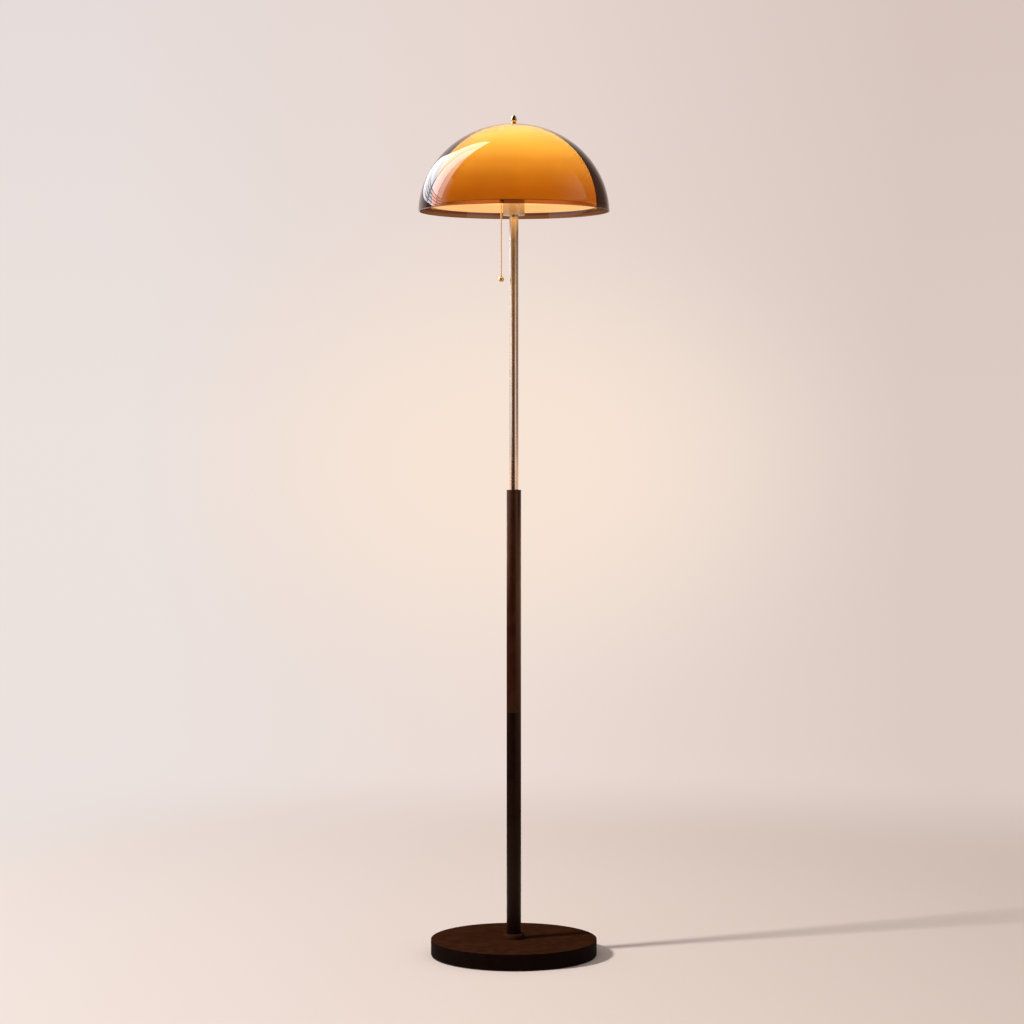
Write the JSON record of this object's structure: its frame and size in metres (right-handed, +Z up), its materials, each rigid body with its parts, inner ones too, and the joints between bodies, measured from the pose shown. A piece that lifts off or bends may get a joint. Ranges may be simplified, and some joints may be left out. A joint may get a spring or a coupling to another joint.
{
  "type": "mushroom floor lamp",
  "caption": "Floor lamp with a weighted round base, two-stage pole, pull-chain switch and an amber dome over an opal dome held by a harp and ball finial.",
  "frame": {"origin": "centre of the base's underside, where the lamp stands on the floor", "axes": "+Z up the pole, -Y towards the front of the lamp as pictured, pull chain on the -X side, cord gland at +Y"},
  "size_m": [0.3572, 0.357, 1.5743],
  "materials": {
    "brown_paint": "dark brown satin powder coat",
    "satin_nickel": "satin nickel plate",
    "polished_brass": "polished brass",
    "zinc_steel": "zinc plated steel",
    "cast_iron": "raw casting",
    "felt": "pressed felt",
    "black_rubber": "moulded",
    "phenolic": "moulded phenolic",
    "aluminium": "pressed, threaded",
    "opal_glass": "frosted opal glass",
    "opal_acrylic": "glossy opal white acrylic, light comes through",
    "amber_acrylic": "clear glossy amber acrylic",
    "clear_washer": "soft washer",
    "lead_sheath": "brown flexible sheath"
  },
  "bodies": {
    "lamp": {"base_disc": "brown_paint", "base_weight": "cast_iron", "base_pad": "felt", "cord_gland": "black_rubber", "foot_washer": "zinc_steel", "foot_nut": "zinc_steel", "foot_nipple": "zinc_steel", "pole_collar": "brown_paint", "foot_insert": "zinc_steel", "lower_pole_bottom": "brown_paint", "mid_coupler": "zinc_steel", "lower_pole_top": "brown_paint", "pole_reducer": "brown_paint", "pole_guide": "zinc_steel", "upper_pole": "satin_nickel", "head_insert": "zinc_steel", "head_nipple": "zinc_steel", "check_ring": "satin_nickel", "switch_cup": "satin_nickel", "head_nut": "zinc_steel", "cup_cover": "satin_nickel", "switch_case": "phenolic", "rotor_pin": "zinc_steel", "return_spring": "zinc_steel", "switch_spout": "polished_brass", "spout_nut": "polished_brass", "socket_nipple": "zinc_steel", "socket_nut": "zinc_steel", "harp_saddle": "satin_nickel", "harp_ferrules": "polished_brass", "harp": "satin_nickel", "socket_cap": "phenolic", "socket_sleeve": "phenolic", "socket_insulator": "phenolic", "centre_contact": "polished_brass", "screw_shell": "polished_brass", "bulb_cap": "aluminium", "bulb_globe": "opal_glass", "inner_dome": "opal_acrylic", "outer_dome": "amber_acrylic", "dome_washer": "clear_washer", "finial": "polished_brass", "lamp_lead": "lead_sheath", "socket_lead": "lead_sheath"},
    "rotor": {"switch_rotor": "polished_brass"},
    "pull_stem": {"chain_stem": "polished_brass"},
    "upper_chain": {"chain_upper": "polished_brass"},
    "lower_chain": {"chain_coupling": "polished_brass", "chain_lower": "polished_brass", "chain_ball": "polished_brass"}
  },
  "joints": [
    {"name": "chain_pull", "type": "slide", "parent": "lamp", "child": "pull_stem", "axis": [0, 0, -1], "range_m": [0, 0.008], "stiffness_N_per_m": 900, "springref_m": -0.002},
    {"name": "rotor_turn", "type": "hinge", "parent": "lamp", "child": "rotor", "pos_m": [-0.004, 0, 1.411], "axis": [0, -1, 0], "range_deg": [0, 76.5]},
    {"name": "chain_sway", "type": "hinge", "parent": "pull_stem", "child": "upper_chain", "pos_m": [-0.0235, 0, 1.4105], "axis": [1, 0, 0], "range_deg": [-60, 60]},
    {"name": "chain_swing", "type": "hinge", "parent": "upper_chain", "child": "lower_chain", "pos_m": [-0.0235, 0, 1.3945], "axis": [0, 1, 0], "range_deg": [-3, 60]}
  ],
  "couplings": [
    {"joint": "rotor_turn", "follows": "chain_pull", "rad_per_m": 166.67}
  ]
}
